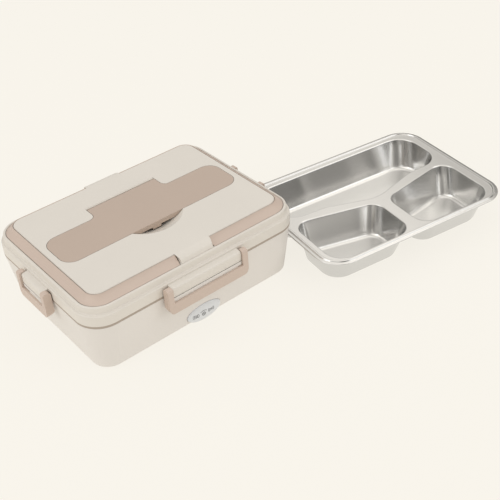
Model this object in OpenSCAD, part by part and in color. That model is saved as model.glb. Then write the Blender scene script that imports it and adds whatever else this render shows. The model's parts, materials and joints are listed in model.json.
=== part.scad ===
// Electric lunch box: a heated base and a clip-on lid with folding carry handles,
// a cutlery compartment under a hinged cover, and a lift-out steel food tray that
// stands beside the box. Millimetres, +Z up. The origin is the centre of the box's
// footprint, on the surface that its feet rest on. -Y is the front.

/* [Box] */
// Length over the lid's skirt
box_l = 251; // [240:1:280]
// Width over the lid's skirt
box_w = 186.5; // [180:0.5:210]
// Plan radius of the box's corners at the lid's skirt
corner_r = 27; // [25:1:32]
// Height of the closed box, feet included
box_h = 87.5; // [84:0.5:100]
// Height of the base's upper edge
base_h = 58.3; // [56:0.1:62]
// Width of the dark joint line between the base and the lid
seam = 2.4; // [1.6:0.1:2.6]
// How far the base's walls lean in from their upper edge to the bottom
base_taper = 8.2; // [6:0.1:9]
// Radius of the base's bottom edge
base_edge_r = 4; // [3:0.5:6]
// Wall of the base's outer shell
shell_wall = 2; // [1.8:0.1:2.2]

/* [Food cavity] */
// Wall of the inner liner
liner_wall = 1.5; // [1.2:0.1:1.6]
// Gap between the tray's edge and the liner's wall, each side in Y
tray_play = 0.45; // [0.3:0.05:0.6]
// Height of the cavity's floor
cavity_floor = 16.5; // [15.5:0.5:18]
// Length of the heating plate
plate_l = 140; // [110:2:160]
// Width of the heating plate
plate_w = 88; // [76:2:96]
// Thickness of the heating plate
plate_t = 1.5; // [1:0.1:2]

/* [Lid] */
// Wall of the lid
lid_wall = 2.2; // [1.8:0.1:2.4]
// Width of the flat strip of lid from the top plate's edge to the skirt's face
lid_edge = 15; // [14:0.5:16]
// Height of the raised lip outside the handles, below the lid's top
lip_drop = 7.5; // [6.5:0.5:8]
// Depth of the ledge round the lid, below the lid's top
ledge_drop = 15.1; // [14:0.1:17]
// Depth of the trough that the handles lie in, below the lid's top
trough_depth = 10.9; // [10.5:0.1:11.5]
// Length of the fixed bridge between the two handles' ends
bridge_l = 41; // [36:1:46]

/* [Handles] */
// Gap round a folded handle
handle_gap = 0.4; // [0.3:0.05:0.6]
// Distance of a handle's pivot from the handle's end
handle_end = 4.7; // [4.5:0.1:5.2]
// Depth of a handle's pivot below the handle's top
handle_pivot_drop = 4.5; // [4.2:0.1:4.6]
// Radius of the handle's pivot pins
handle_pin_r = 1.3; // [1.1:0.1:1.4]

/* [Cutlery cover] */
// Distance of the cover's ends from the ends of the lid's top plate
cover_end = 7; // [6:0.5:12]
// Width of the cover's long part
cover_w = 48.3; // [44:0.1:50]
// Distance of the cover's long part behind the lid's centre line
cover_back = 0.85; // [0:0.05:2]
// Corner radius of the cover
cover_r = 14; // [10:1:18]
// Width of the cover's hinged part
cover_hinge_l = 83; // [70:1:90]
// How far the hinged part reaches behind the long part
cover_hinge_reach = 19.5; // [17:0.5:22]
// Thickness of the cover over its rim
cover_t = 5; // [4.5:0.1:5.5]
// Gap round the cover
cover_gap = 0.4; // [0.3:0.05:0.6]
// Radius of the cover's hinge barrel
barrel_r = 3; // [2.6:0.1:3]
// Radius of the cover's hinge pins
cover_pin_r = 1; // [0.8:0.1:1.2]
// Height of the inner cover's top above the joint line
inner_cover_rise = 3.5; // [3:0.1:5]
// Height of the cutlery compartment's floor above the inner cover
well_rise = 4; // [3.6:0.1:6]

/* [Latches] */
// Length of the front and back latches
long_latch_l = 95; // [80:1:110]
// Length of the left and right latches
short_latch_l = 52; // [46:1:70]
// Width of a latch's arms
latch_arm = 6.2; // [6:0.2:10]
// Height of the catch ledge under the joint line
catch_h = 3.9; // [2.5:0.1:5]
// Height of the latches' pins above the joint line
latch_pin_rise = 6.2; // [5.5:0.1:8]
// Height of the latch's lower bar
latch_bar_h = 13.1; // [12:0.1:17]
// Thickness of the latch's lower bar
latch_bar_t = 2; // [1.8:0.1:2.6]
// How far the boss and the catch stand out of the walls
boss_reach = 7.2; // [7:0.1:9]
// Radius of the latch pins
latch_pin_r = 1.25; // [1:0.05:1.5]

/* [Tray] */
// Gap between the tray's edge and the liner's wall, each end in X
tray_end_play = 1.7; // [1:0.1:4]
// Height of the food tray
tray_h = 37.5; // [30:0.5:38]
// Corner radius of the tray's rim
tray_r = 28; // [26:1:30]
// Thickness of the tray's steel
steel_t = 0.8; // [0.6:0.1:1]
// How far a compartment's long walls lean in from its mouth to its floor
tray_draft = 8; // [5:0.5:9]
// Lean of the compartments' walls at the tray's ends
end_draft = 3.3; // [2:0.1:8]
// Lean of the walls between the two small compartments
rib_draft = 5.2; // [2:0.1:8]
// How much further the walls at the tray's front lean in
front_lean = 2.6; // [0:0.1:4]
// Radius between a compartment's wall and floor
tray_floor_r = 6; // [4:0.5:6]
// How far the tray's near end reaches back past the end of the box
tray_tuck = 2.3; // [0:0.1:4]
// Centre of the tray in Y
tray_y = -83.2; // [-100:0.2:-60]
// Turn of the tray on the table, in degrees
tray_turn = -8.15; // [-12:0.05:0]
// Place of the compartments along the tray, from its middle
deck_shift = -1.7; // [-3:0.1:3]

/* [Front panel and inlet] */
// Length of the oval indicator panel
panel_l = 41; // [38:1:50]
// Height of the oval indicator panel
panel_h = 19.6; // [16:0.2:20]
// Distance between the panel's lamps
lamp_pitch = 11; // [8:0.5:13]
// Bulge of the panel's face
panel_bulge = 2.8; // [1.5:0.1:3.5]
// Length of the power inlet's collar
inlet_l = 28; // [26:0.5:34]
// Height of the power inlet's collar
inlet_h = 16; // [15:0.5:18]
// Depth of the power inlet's socket
inlet_depth = 10; // [9:0.5:11]
// Radius of the inlet's contact pins
contact_r = 1.2; // [1:0.1:1.3]
// Distance between the inlet's contact pins
contact_pitch = 8.6; // [8:0.1:9]

/* [Bottom] */
// Diameter of the feet
foot_d = 12; // [10:0.5:14]
// How far the feet stand out of the bottom
foot_proud = 1; // [0.8:0.1:1.2]
// Thickness of the bottom cover
bottom_t = 2.4; // [2.2:0.1:2.6]
// Radius of the bottom cover's screws
screw_r = 1.2; // [1:0.1:1.5]

/* [Hidden] */

$fn = 48;

cream = "#e3dccf";
tan_brown = "#cdb9a8";
cover_brown = "#c4b09f";
steel = "#d0cdc8";
silicone = "#d9d6d0";
panel_grey = "#d5d6d5";
brass = "#c9a85a";
white_plastic = "#e9e6df";
board_green = "#2f6b46";

// Clearance of a pin that something turns on, and of a pin pressed in place
run_gap = 0.06;
seat_gap = 0.02;
// Gap between bodies that only lie beside each other
side_gap = 0.4;
// Overlap that joins two solids of one piece, and makes a cut go right through
lap = 1;

// Every outline of the box is an offset of the rectangle of its corners' centres.
core = [box_l / 2 - corner_r, box_w / 2 - corner_r];
foot_top = foot_proud;
base_top_r = corner_r - 0.1;
base_foot_r = base_top_r - base_taper;
lid_low = base_h + seam;
top_r = corner_r - lid_edge;

// Points of an arc in the profile plane
function arc(centre, r, from, to, steps = 5) =
    [for (i = [0:steps])
        let (a = from + (to - from) * i / steps)
        centre + r * [cos(a), sin(a)]];

// Offset of the base's outer wall from the core at height z
function base_r(z) =
    base_foot_r + base_taper * (z - foot_top) / (base_h - foot_top);

// Half of the core's extent towards side k: 0 is +X, 1 is +Y, 2 is -X, 3 is -Y
function reach(k) = core[k % 2];

// Sweeps a profile of [offset from the core, height] all round the given rectangle
module around(half = core) {
    for (k = [0:3]) {
        corner = [[1, 1], [-1, 1], [-1, -1], [1, -1]][k];
        translate([corner.x * half.x, corner.y * half.y, 0])
            rotate([0, 0, 90 * k])
                rotate_extrude(angle = 90)
                    children();
        along = half[(k + 1) % 2];
        rotate([0, 0, 90 * k])
            translate([half[k % 2], along, 0])
                rotate([90, 0, 0])
                    linear_extrude(2 * along)
                        children();
    }
}

// Slab that fills the rectangle inside a swept profile
module core_slab(low, high, half = core) {
    translate([-half.x, -half.y, low])
        cube([2 * half.x, 2 * half.y, high - low]);
}

// Extrudes a profile of [offset from the core, height] along the middle of side k
module on_side(k, width) {
    rotate([0, 0, 90 * k])
        translate([reach(k), width / 2, 0])
            rotate([90, 0, 0])
                linear_extrude(width)
                    children();
}

// Rod along side k, at an offset from the core and a height
module side_rod(k, at, r, length) {
    rotate([0, 0, 90 * k])
        translate([reach(k) + at.x, 0, at.y])
            rotate([90, 0, 0])
                cylinder(r = r, h = length, center = true);
}

// Rectangle with round corners, centred on the origin
module rounded_rect(size, r) {
    square([size.x - 2 * r, size.y], center = true);
    square([size.x, size.y - 2 * r], center = true);
    for (sx = [-1, 1], sy = [-1, 1])
        translate([sx * (size.x / 2 - r), sy * (size.y / 2 - r)])
            circle(r = r);
}

// Copies something into the four quarters of the plan
module in_quarters(at) {
    for (sx = [-1, 1], sy = [-1, 1])
        translate([sx * at.x, sy * at.y, 0])
            children();
}

// ---- Base ----

liner_flange_t = 1.6;
liner_seat = base_h - 2.9;
flange_top = liner_seat + liner_flange_t;
tray_w = 2 * (core.y + corner_r - 5.4 - tray_play);
cavity_r = tray_w / 2 + tray_play - core.y;
liner_r = cavity_r + liner_wall;
liner_low_r = cavity_r - 5.2;
cavity_fillet = 6;
tray_shelf = liner_seat - 7;
cover_edge_r = 9;
cover_top = foot_top + bottom_t;
wall_low = cover_top + 1.6;
screw_at = core - [12.5, 12.25];
foot_at = core - [2.5, 4.25];
foot_sink = 1.2;

catch_low = base_h - catch_h;
latch_foot = catch_low - side_gap - latch_bar_h;
boss_r = corner_r + 0.1 + boss_reach;

panel_z = foot_top + panel_h / 2;
panel_back = base_r(panel_z) - 1;
inlet_z = cover_top + inlet_h / 2 + 0.2;
inlet_face = base_r(inlet_z) + 0.6;
inlet_back = inlet_face - 2.6;
inlet_rear = inlet_face - inlet_depth - 2;
inlet_body = [24, 12.4];
socket_size = [18.4, 9.6];

module oval_block(size, from, to) {
    // Elliptical prism that points out of the front wall
    points = [for (a = [0:7.5:352.5]) [size.x / 2 * cos(a), size.y / 2 * sin(a)]];
    translate([0, -core.y - from, panel_z])
        rotate([90, 0, 0])
            linear_extrude(to - from)
                polygon(points);
}

module base_shell() {
    color(cream)
    difference() {
        union() {
            around()
                polygon(concat(
                    [[cover_edge_r + 0.3, foot_top]],
                    arc([base_r(foot_top + base_edge_r) - base_edge_r,
                         foot_top + base_edge_r], base_edge_r, -90, -8),
                    [[base_top_r - 0.1, base_h - 0.6],
                     [base_top_r - 0.7, base_h],
                     [base_r(liner_seat) - shell_wall + 0.2, base_h],
                     [base_r(liner_seat) - shell_wall + 0.2, liner_seat],
                     [liner_r + 0.3, liner_seat],
                     [liner_r + 0.3, liner_seat - 1.8],
                     [base_r(liner_seat - 3.4) - shell_wall, liner_seat - 3.4],
                     [base_r(wall_low + 2) - shell_wall, wall_low + 2],
                     [base_r(wall_low + 2) - shell_wall - 2, wall_low],
                     [cover_edge_r - 2.5, wall_low],
                     [cover_edge_r - 2.5, cover_top],
                     [cover_edge_r + 0.3, cover_top]]));
            oval_block([panel_l + 4, panel_h - 3], panel_back - 1.1, panel_back + 0.6);
            inlet_surround();
        }
        for (k = [0:3])
            catch_block(k, seat_gap);
        oval_block([panel_l + 0.4, panel_h + 0.4], panel_back, panel_back + 8);
        led_holes();
        inlet_hollow();
    }
}

// Ledge that the latch closes under, flush with the lid's boss above it and let a
// little way into the wall; g grows it into its own seat
module catch_block(k, g = 0) {
    root = base_r(catch_low - 4) - 0.6 - g;
    top = base_h + (g > 0 ? lap : 0);
    on_side(k, boss_l(k) + 2 * g)
        polygon([[root, catch_low - 4 - g], [boss_r + g, catch_low - g],
                 [boss_r + g, top], [root, top]]);
}

module latch_catches() {
    color(cream)
    for (k = [0:3])
        catch_block(k);
}

module led_holes() {
    for (x = [-lamp_pitch, 0, lamp_pitch])
        translate([x, -core.y - panel_back + 4, panel_z])
            rotate([90, 0, 0])
                cylinder(r = 1.7, h = 8, center = true);
}

module inlet_surround() {
    translate([0, core.y + inlet_back - 0.3, inlet_z])
        rotate([-90, 0, 0])
            linear_extrude(0.9)
                rounded_rect([inlet_l + 3, inlet_h], 4);
}

module inlet_hollow() {
    translate([0, core.y + inlet_back, inlet_z])
        rotate([-90, 0, 0])
            linear_extrude(8)
                rounded_rect([inlet_l + 0.3, inlet_h + 0.3], 4.15);
    inlet_room(0.2, inlet_back - 8, inlet_back + lap);
}

// Prism round the body of the inlet, behind its collar
module inlet_room(gap, from, to) {
    translate([0, core.y + from, inlet_z])
        rotate([-90, 0, 0])
            linear_extrude(to - from)
                rounded_rect([inlet_body.x + 2 * gap, inlet_body.y + 2 * gap], 1.8 + gap);
}

module bottom_cover() {
    color(cream)
    difference() {
        union() {
            around()
                polygon([[0, foot_top], [cover_edge_r - 0.6, foot_top],
                         [cover_edge_r, foot_top + 0.6], [cover_edge_r, cover_top],
                         [0, cover_top]]);
            core_slab(foot_top, cover_top);
        }
        in_quarters(foot_at)
            translate([0, 0, foot_top - lap])
                cylinder(d = foot_d + 0.4, h = foot_sink + lap);
        in_quarters(screw_at) {
            cylinder(r = screw_r + 0.3, h = cover_top + lap);
            translate([0, 0, foot_top - 0.1])
                cylinder(r1 = screw_r + 2, r2 = screw_r + 0.3, h = 1.8);
        }
        for (x = [-35:10:35])
            translate([x - 1.5, -22, 0])
                cube([3, 44, cover_top + lap]);
    }
}

module feet() {
    color(silicone)
    in_quarters(foot_at) {
        cylinder(d1 = foot_d - 1, d2 = foot_d, h = foot_top);
        translate([0, 0, foot_top])
            cylinder(d = foot_d, h = foot_sink);
    }
}

module cover_screws() {
    color(steel)
    in_quarters(screw_at) {
        translate([0, 0, foot_top])
            cylinder(r1 = screw_r + 1.7, r2 = screw_r, h = 1.6);
        translate([0, 0, foot_top + 1.5])
            cylinder(r = screw_r, h = 8);
    }
}

module inner_liner() {
    floor_low = cavity_floor - 2;
    inner_foot = [liner_low_r - cavity_fillet, cavity_floor + cavity_fillet];
    color(white_plastic)
    difference() {
        union() {
            around()
                polygon(concat(
                    [[0, cavity_floor]],
                    arc(inner_foot, cavity_fillet, -90, -10),
                    [[cavity_r, tray_shelf], [cavity_r, flange_top],
                     [base_r(liner_seat) - shell_wall - 0.1, flange_top],
                     [base_r(liner_seat) - shell_wall - 0.1, liner_seat],
                     [liner_r, liner_seat], [liner_r, tray_shelf]],
                    arc(inner_foot, cavity_fillet + 2, -10, -90),
                    [[0, floor_low]]));
            core_slab(floor_low, cavity_floor);
            in_quarters(screw_at)
                translate([0, 0, cover_top])
                    cylinder(r = 4, h = floor_low - cover_top + lap);
            intersection() {
                inlet_room(0.3 + liner_wall, inlet_rear - 0.3 - liner_wall, cavity_r);
                translate([-inlet_l, 0, floor_low])
                    cube([2 * inlet_l, core.y + liner_low_r + 0.7, inlet_l]);
            }
        }
        inlet_room(0.3, inlet_rear - 0.3, cavity_r + lap);
        translate([0, 0, floor_low - lap])
            linear_extrude(2 + 2 * lap)
                rounded_rect([plate_l - 40, plate_w - 28], 6);
        in_quarters(screw_at)
            translate([0, 0, cover_top - lap])
                cylinder(r = screw_r + 0.05, h = 8 + lap);
    }
}

pad_drop = 3;
pad_low = cavity_floor - pad_drop;

module heating_plate() {
    color(steel) {
        translate([0, 0, cavity_floor])
            linear_extrude(plate_t)
                rounded_rect([plate_l, plate_w], 12);
        translate([0, 0, pad_low])
            linear_extrude(pad_drop)
                rounded_rect([plate_l - 41, plate_w - 29], 5.5);
    }
}

module heater_strips() {
    color(silicone)
    for (sy = [-1, 1])
        translate([-36, sy * 16 - 6.5, pad_low - 4])
            cube([72, 13, 4]);
}

module thermostat() {
    color(steel) {
        translate([0, 0, pad_low - 2])
            cylinder(r = 8.4, h = 2);
        translate([0, 0, pad_low - 7])
            cylinder(r = 7.2, h = 5);
        for (sx = [-1, 1])
            translate([sx * 4 - 0.4, -2.5, pad_low - 9.5])
                cube([0.8, 5, 2.5]);
    }
}

module thermal_fuse() {
    color(brass)
    translate([-26, 0, pad_low - 2])
        rotate([0, 90, 0]) {
            cylinder(r = 2, h = 11, center = true);
            cylinder(r = 0.5, h = 21, center = true);
        }
}

board_y = panel_back - 4.6;

module control_board() {
    color(board_green)
    translate([-22, -core.y - board_y, wall_low])
        cube([44, 1.6, cavity_floor - 2.7 - wall_low]);
}

module indicator_leds() {
    color(panel_grey)
    for (x = [-lamp_pitch, 0, lamp_pitch])
        translate([x, -core.y - board_y, panel_z])
            rotate([90, 0, 0]) {
                cylinder(r = 1.9, h = 0.8);
                cylinder(r = 1.5, h = 2.2);
                translate([0, 0, 2.2])
                    sphere(r = 1.5);
            }
}

// Oval panel with a domed face, standing out of the front wall
module indicator_panel() {
    rings = 6;
    sides = 40;
    rim = panel_back + 1.9;
    function dome_point(i, j) =
        let (t = 90 * i / rings, a = 360 * j / sides)
        [panel_l / 2 * cos(t) * cos(a),
         -core.y - rim - panel_bulge * sin(t),
         panel_z + panel_h / 2 * cos(t) * sin(a)];
    back = [for (j = [0:sides - 1])
        let (a = 360 * j / sides)
        [panel_l / 2 * cos(a), -core.y - panel_back, panel_z + panel_h / 2 * sin(a)]];
    dome = [for (i = [0:rings - 1], j = [0:sides - 1]) dome_point(i, j)];
    tip = [[0, -core.y - rim - panel_bulge, panel_z]];
    last = (rings) * sides;
    faces = concat(
        [[for (j = [0:sides - 1]) j]],
        [for (i = [0:rings - 1], j = [0:sides - 1])
            [i * sides + j, (i + 1) * sides + j,
             (i + 1) * sides + (j + 1) % sides, i * sides + (j + 1) % sides]],
        [for (j = [0:sides - 1]) [last + j, last + sides, last + (j + 1) % sides]]);
    color(panel_grey)
    difference() {
        polyhedron(points = concat(back, dome, tip), faces = faces);
        for (x = [-lamp_pitch, 0, lamp_pitch])
            translate([x, -core.y - panel_back + lap, panel_z])
                rotate([90, 0, 0])
                    cylinder(r = 1.9, h = lap + 1.6);
    }
}

// Mains inlet with a round-ended socket; the cord that fits it is a loose piece
module inlet_socket() {
    color("#4a4846")
    difference() {
        union() {
            translate([0, core.y + inlet_back, inlet_z])
                rotate([-90, 0, 0])
                    linear_extrude(inlet_face - inlet_back)
                        rounded_rect([inlet_l, inlet_h], 4);
            inlet_room(0, inlet_rear, inlet_back + lap);
        }
        translate([0, core.y + inlet_face - inlet_depth, inlet_z])
            rotate([-90, 0, 0])
                linear_extrude(inlet_depth + lap)
                    rounded_rect(socket_size, socket_size.y / 2 - 0.05);
        contacts(contact_r + seat_gap, inlet_face - inlet_depth - 3, 4);
    }
}

module contacts(r, from, length) {
    for (sx = [-1, 1])
        translate([sx * contact_pitch / 2, core.y + from, inlet_z])
            rotate([-90, 0, 0])
                cylinder(r = r, h = length);
}

module inlet_pins() {
    color(brass)
    contacts(contact_r, inlet_face - inlet_depth - 5, inlet_depth + 3);
}

// Two insulated leads from the inlet's pins to the heater strips
module heater_leads() {
    lead_r = 1.1;
    start_y = core.y + inlet_face - inlet_depth - 5.8;
    color("#8a3a32")
    for (sx = [-1, 1])
        translate([sx * contact_pitch / 2, 0, 0]) {
            bend_r = 3;
            drop = inlet_z - (pad_low - 2);
            translate([0, 22.8, pad_low - 2])
                rotate([-90, 0, 0])
                    cylinder(r = lead_r, h = start_y - 22.8 - 2 * bend_r);
            translate([0, start_y - 2 * bend_r, pad_low - 2])
                rotate([-atan2(drop, 2 * bend_r), 0, 0])
                    rotate([-90, 0, 0])
                        cylinder(r = lead_r, h = norm([drop, 2 * bend_r]));
        }
}

// ---- Lid ----

trough_z = box_h - trough_depth;
lip_z = box_h - lip_drop;
lip_r = corner_r - 6;
skirt_r = corner_r + 0.1;
ledge_z = box_h - ledge_drop;
liner_top = lid_low + inner_cover_rise;
handle_top = box_h - 0.4;
handle_in = top_r + handle_gap;
handle_out = lip_r - handle_gap;
handle_low = trough_z + handle_gap;
pivot_z = handle_top - handle_pivot_drop;
pivot_x = bridge_l / 2 + 0.3 + handle_end;
swing_r = norm([handle_end, handle_pivot_drop]) + 0.4;
handle_pin_out = handle_in + 2.4;
handle_pin_in = top_r - 7;
handle_start = pivot_x - (pivot_z - handle_low);

barrel_y = cover_back + cover_w / 2 + cover_hinge_reach - barrel_r;
barrel_z = box_h - barrel_r;
cover_low = box_h - cover_t;
rebate_z = cover_low - 0.3;
cover_l = 2 * (core.x + top_r - cover_end);
rebate_low = rebate_z - 2.6;
well = [cover_l - 13, cover_w - 8.3];
well_low = liner_top + well_rise;
well_wall = 1.8;

latch_axis = [corner_r + 4.9, lid_low + latch_pin_rise];
latch_in = skirt_r + 0.9;
latch_face = boss_r + 0.3 + latch_bar_t;

function latch_l(k) = k % 2 == 1 ? long_latch_l : short_latch_l;
function boss_l(k) = latch_l(k) - 2 * latch_arm - 2 * side_gap;

// Plan of the cover, grown by g: a long part and a hinged part with round inner corners
module cover_plan(g = 0) {
    rear = cover_back + cover_w / 2;
    fillet = 7;
    translate([0, cover_back])
        rounded_rect([cover_l + 2 * g, cover_w + 2 * g], cover_r + g);
    translate([0, rear + cover_hinge_reach / 2 - 10])
        rounded_rect([cover_hinge_l + 2 * g, cover_hinge_reach + 20 + 2 * g], 4 + g);
    for (sx = [-1, 1])
        mirror([sx < 0 ? 1 : 0, 0])
            translate([cover_hinge_l / 2 + g - 0.01, rear + g - 0.01])
                difference() {
                    square(fillet - g);
                    translate([fillet - g, fillet - g])
                        circle(r = fillet - g);
                }
}

module lid_shell() {
    color(cream)
    difference() {
        union() {
            around()
                polygon(concat(
                    [[0, box_h], [top_r - 0.8, box_h], [top_r, box_h - 0.8],
                     [top_r, trough_z], [lip_r, trough_z], [lip_r, lip_z - 0.5],
                     [lip_r + 0.4, lip_z]],
                    arc([lip_r + 1.6, lip_z - 1.2], 1.2, 90, 12),
                    arc([skirt_r - 1.5, ledge_z + 1.4], 1.4, 188, 270),
                    arc([skirt_r - 1.4, ledge_z - 1.4], 1.4, 90, 0),
                    [[skirt_r, lid_low], [skirt_r - lid_wall, lid_low],
                     [skirt_r - lid_wall, ledge_z - 3.2],
                     [lip_r - 1, trough_z - lid_wall],
                     [top_r - lid_wall, trough_z - lid_wall],
                     [top_r - lid_wall, box_h - lid_wall],
                     [0, box_h - lid_wall]]));
            core_slab(box_h - lid_wall, box_h);
            for (k = [1, 3])
                bridge(k);
            for (k = [0:3])
                latch_boss(k);
            cover_rebate();
            handle_sockets();
            hinge_cheeks();
        }
        translate([0, 0, rebate_z])
            linear_extrude(cover_t + lap)
                cover_plan(cover_gap);
        well_block(rebate_low - lap, rebate_z + lap);
        well_block(well_low, rebate_low, well_wall);
        finger_scoop(0);
        hinge_relief();
        barrel(barrel_r + cover_gap, cover_hinge_l + 2 * cover_gap);
        handle_cuts();
        for (k = [0:3])
            side_rod(k, latch_axis, latch_pin_r + seat_gap, boss_l(k) + 2 * lap);
        cover_pin_rods(cover_pin_r + seat_gap, 0.3);
    }
}

// Fixed piece of lid between the handles' ends, rounded down from the plate to the lip
module bridge(k) {
    on_side(k, bridge_l)
        polygon(concat(
            [[top_r - lap, trough_z - lap], [top_r - lap, box_h]],
            arc([top_r - 0.5, box_h - 11], 11, 90, 42, 6),
            [[lip_r + 0.2, lip_z], [lip_r + 0.2, trough_z - lap]]));
}

// Block on the skirt that carries the latch's pin between the latch's arms
module latch_boss(k) {
    on_side(k, boss_l(k))
        polygon(concat(
            [[skirt_r - 1.5, lid_low], [boss_r, lid_low]],
            arc([boss_r - 2, ledge_z - 4.6], 2, 0, 80, 4),
            [[skirt_r - 1.5, ledge_z - 2]]));
}

// Floor and walls of the rebate that the cover lies in, and of the scoop in front of it
module cover_rebate() {
    translate([0, 0, rebate_low])
        linear_extrude(box_h - lid_wall / 2 - rebate_low)
            cover_plan(cover_gap + 1.8);
    finger_scoop(1.8);
}

// Block of the cutlery compartment's plan, grown all round
module well_block(low, high, grow = 0) {
    translate([0, cover_back, low])
        linear_extrude(high - low)
            rounded_rect([well.x + 2 * grow, well.y + 2 * grow], 8 + grow);
}

// Tub of the cutlery compartment, welded on under the rebate's floor
module cutlery_well() {
    color(cream)
    difference() {
        well_block(well_low - 2.1, rebate_low, well_wall);
        well_block(well_low, rebate_low + lap);
        finger_scoop(0);
    }
}

// Dished finger scoop in front of the cover: a ball that dips below the cover's edge
module finger_scoop(grow) {
    ball_r = 60;
    mouth_r = 36;
    ball = [0, -4.5, box_h + sqrt(ball_r * ball_r - mouth_r * mouth_r)];
    front = cover_back - cover_w / 2;
    tuck = 5;
    intersection() {
        translate(ball)
            sphere(r = ball_r + grow);
        translate([-60, front - 40, box_h - 14])
            cube([120, 40 + tuck + grow, grow > 0 ? 14 - lid_wall / 2 : 14 + lap]);
    }
}

// Blocks behind the plate's side wall that hold the handles' pivot pins
module handle_sockets() {
    for (sx = [-1, 1], sy = [-1, 1])
        translate([sx * pivot_x - 4, sy * (core.y + (top_r + handle_pin_in) / 2) - 4,
                   pivot_z - 4])
            cube([8, 8, box_h - lid_wall / 2 - pivot_z + 4]);
}

// Rounds the ends of the bridge clear of the handles' ends, and bores the pin holes
module handle_cuts() {
    trough = [top_r, lip_r];
    for (sx = [-1, 1], sy = [-1, 1]) {
        translate([sx * pivot_x, sy * (core.y + (trough[0] + trough[1]) / 2), pivot_z])
            rotate([90, 0, 0])
                cylinder(r = swing_r, h = trough[1] - trough[0], center = true);
        handle_pin_rod(sx, sy, handle_pin_r + seat_gap, 0.3, handle_pin_out);
    }
}

module handle_pin_rod(sx, sy, r, extra, out) {
    from = handle_pin_in - extra;
    translate([sx * pivot_x, sy * (core.y + (from + out) / 2), pivot_z])
        rotate([90, 0, 0])
            cylinder(r = r, h = out - from, center = true);
}

module handle_pins() {
    color(steel)
    for (sx = [-1, 1], sy = [-1, 1])
        handle_pin_rod(sx, sy, handle_pin_r, 0, handle_pin_out);
}

// Ears beside the cover's hinge barrel, and the chamfer that lets the cover lean back
module hinge_cheeks() {
    for (sx = [-1, 1])
        translate([sx * (cover_hinge_l / 2 + cover_gap + 4.5) - 4.5, barrel_y - 4.5,
                   rebate_z - 1.8])
            cube([9, 9, box_h - lid_wall / 2 - rebate_z + 1.8]);
}

module hinge_relief() {
    width = cover_hinge_l + 2 * cover_gap;
    edge = barrel_y + barrel_r + cover_gap;
    chamfer = 1.2;
    translate([-width / 2, 0, 0])
        rotate([90, 0, 90])
            linear_extrude(width)
                polygon([[barrel_y, barrel_z], [edge, barrel_z], [edge, box_h - chamfer],
                         [edge + chamfer, box_h], [edge + chamfer, box_h + lap],
                         [barrel_y, box_h + lap]]);
}

// Round rear edge of the cover, about its hinge axis
module barrel(r, length) {
    translate([0, barrel_y, barrel_z])
        rotate([0, 90, 0])
            cylinder(r = r, h = length, center = true);
}

module cover_pin_rods(r, extra) {
    for (sx = [-1, 1])
        translate([sx * (cover_hinge_l / 2 - 1), barrel_y, barrel_z])
            rotate([0, 90, 0])
                cylinder(r = r, h = 15 + extra, center = true);
}

module cover_pins() {
    color(steel)
    cover_pin_rods(cover_pin_r, 0);
}

// Inner cover: closes the lid from below and plugs the food cavity's mouth
module lid_liner() {
    low = liner_top - 2;
    plug_r = cavity_r - 0.7;
    color(white_plastic) {
        around()
            polygon([[0, low], [plug_r - 1.6, low], [plug_r - 1.6, flange_top - 0.6],
                     [plug_r, flange_top - 0.6], [plug_r, low],
                     [skirt_r - lid_wall, low], [skirt_r - lid_wall, liner_top],
                     [0, liner_top]]);
        core_slab(low, liner_top);
    }
}

module lid_gasket() {
    low = flange_top + 0.3;
    high = liner_top - 2;
    in_r = cavity_r - 0.6;
    out_r = base_r(liner_seat) - shell_wall - 0.4;
    color(silicone)
    around()
        polygon([[in_r + 0.8, low], [out_r - 0.8, low], [out_r, low + 1.2],
                 [out_r, high], [in_r, high], [in_r, low + 1.2]]);
}

// ---- Latches ----

module latch_pins() {
    color(steel)
    for (k = [0:3])
        side_rod(k, latch_axis, latch_pin_r, latch_l(k) - 4);
}

// U-shaped latch: two arms that hang from the boss's pin and a bar that closes on the catch
module latch(k) {
    length = latch_l(k);
    gap_l = length - 2 * latch_arm;
    round_r = 8;
    top_round = latch_axis.x - latch_in - 0.1;
    color(tan_brown)
    difference() {
        intersection() {
            on_side(k, length)
                polygon(concat(
                    arc(latch_axis, top_round, 180, 90, 6),
                    arc([latch_face - 2.4, latch_axis.y + top_round - 2.4], 2.4, 90, 0, 4),
                    arc([latch_face - 2, latch_foot + 2], 2, 0, -100, 4),
                    [[latch_in + 0.4, latch_foot + 6], [latch_in + 0.1, latch_foot + 7]]));
            rotate([0, 0, 90 * k])
                translate([reach(k), 0, 0])
                    rotate([90, 0, 90])
                        linear_extrude(latch_face + lap)
                            latch_front(length, round_r);
        }
        rotate([0, 0, 90 * k])
            translate([reach(k) + latch_in - lap, -gap_l / 2, latch_foot - lap])
                cube([boss_r + 0.3 - latch_in + lap, gap_l, 50]);
        rotate([0, 0, 90 * k])
            translate([reach(k) + latch_in - lap, -gap_l / 2, latch_foot + latch_bar_h])
                cube([latch_face - latch_in + 2 * lap, gap_l, 30]);
        side_rod(k, latch_axis, latch_pin_r + run_gap, length - 4 + 0.4);
    }
}

// Front outline of a latch: round lower corners, and slightly round upper ones
module latch_front(length, round_r) {
    top = latch_axis.y + 6;
    translate([-length / 2 + round_r, latch_foot])
        square([length - 2 * round_r, round_r]);
    translate([-length / 2, latch_foot + round_r])
        square([length, top - latch_foot - round_r]);
    for (sx = [-1, 1])
        translate([sx * (length / 2 - round_r), latch_foot + round_r])
            circle(r = round_r);
}

module right_latch() { latch(0); }
module back_latch() { latch(1); }
module left_latch() { latch(2); }
module front_latch() { latch(3); }

// ---- Handles ----

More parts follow.
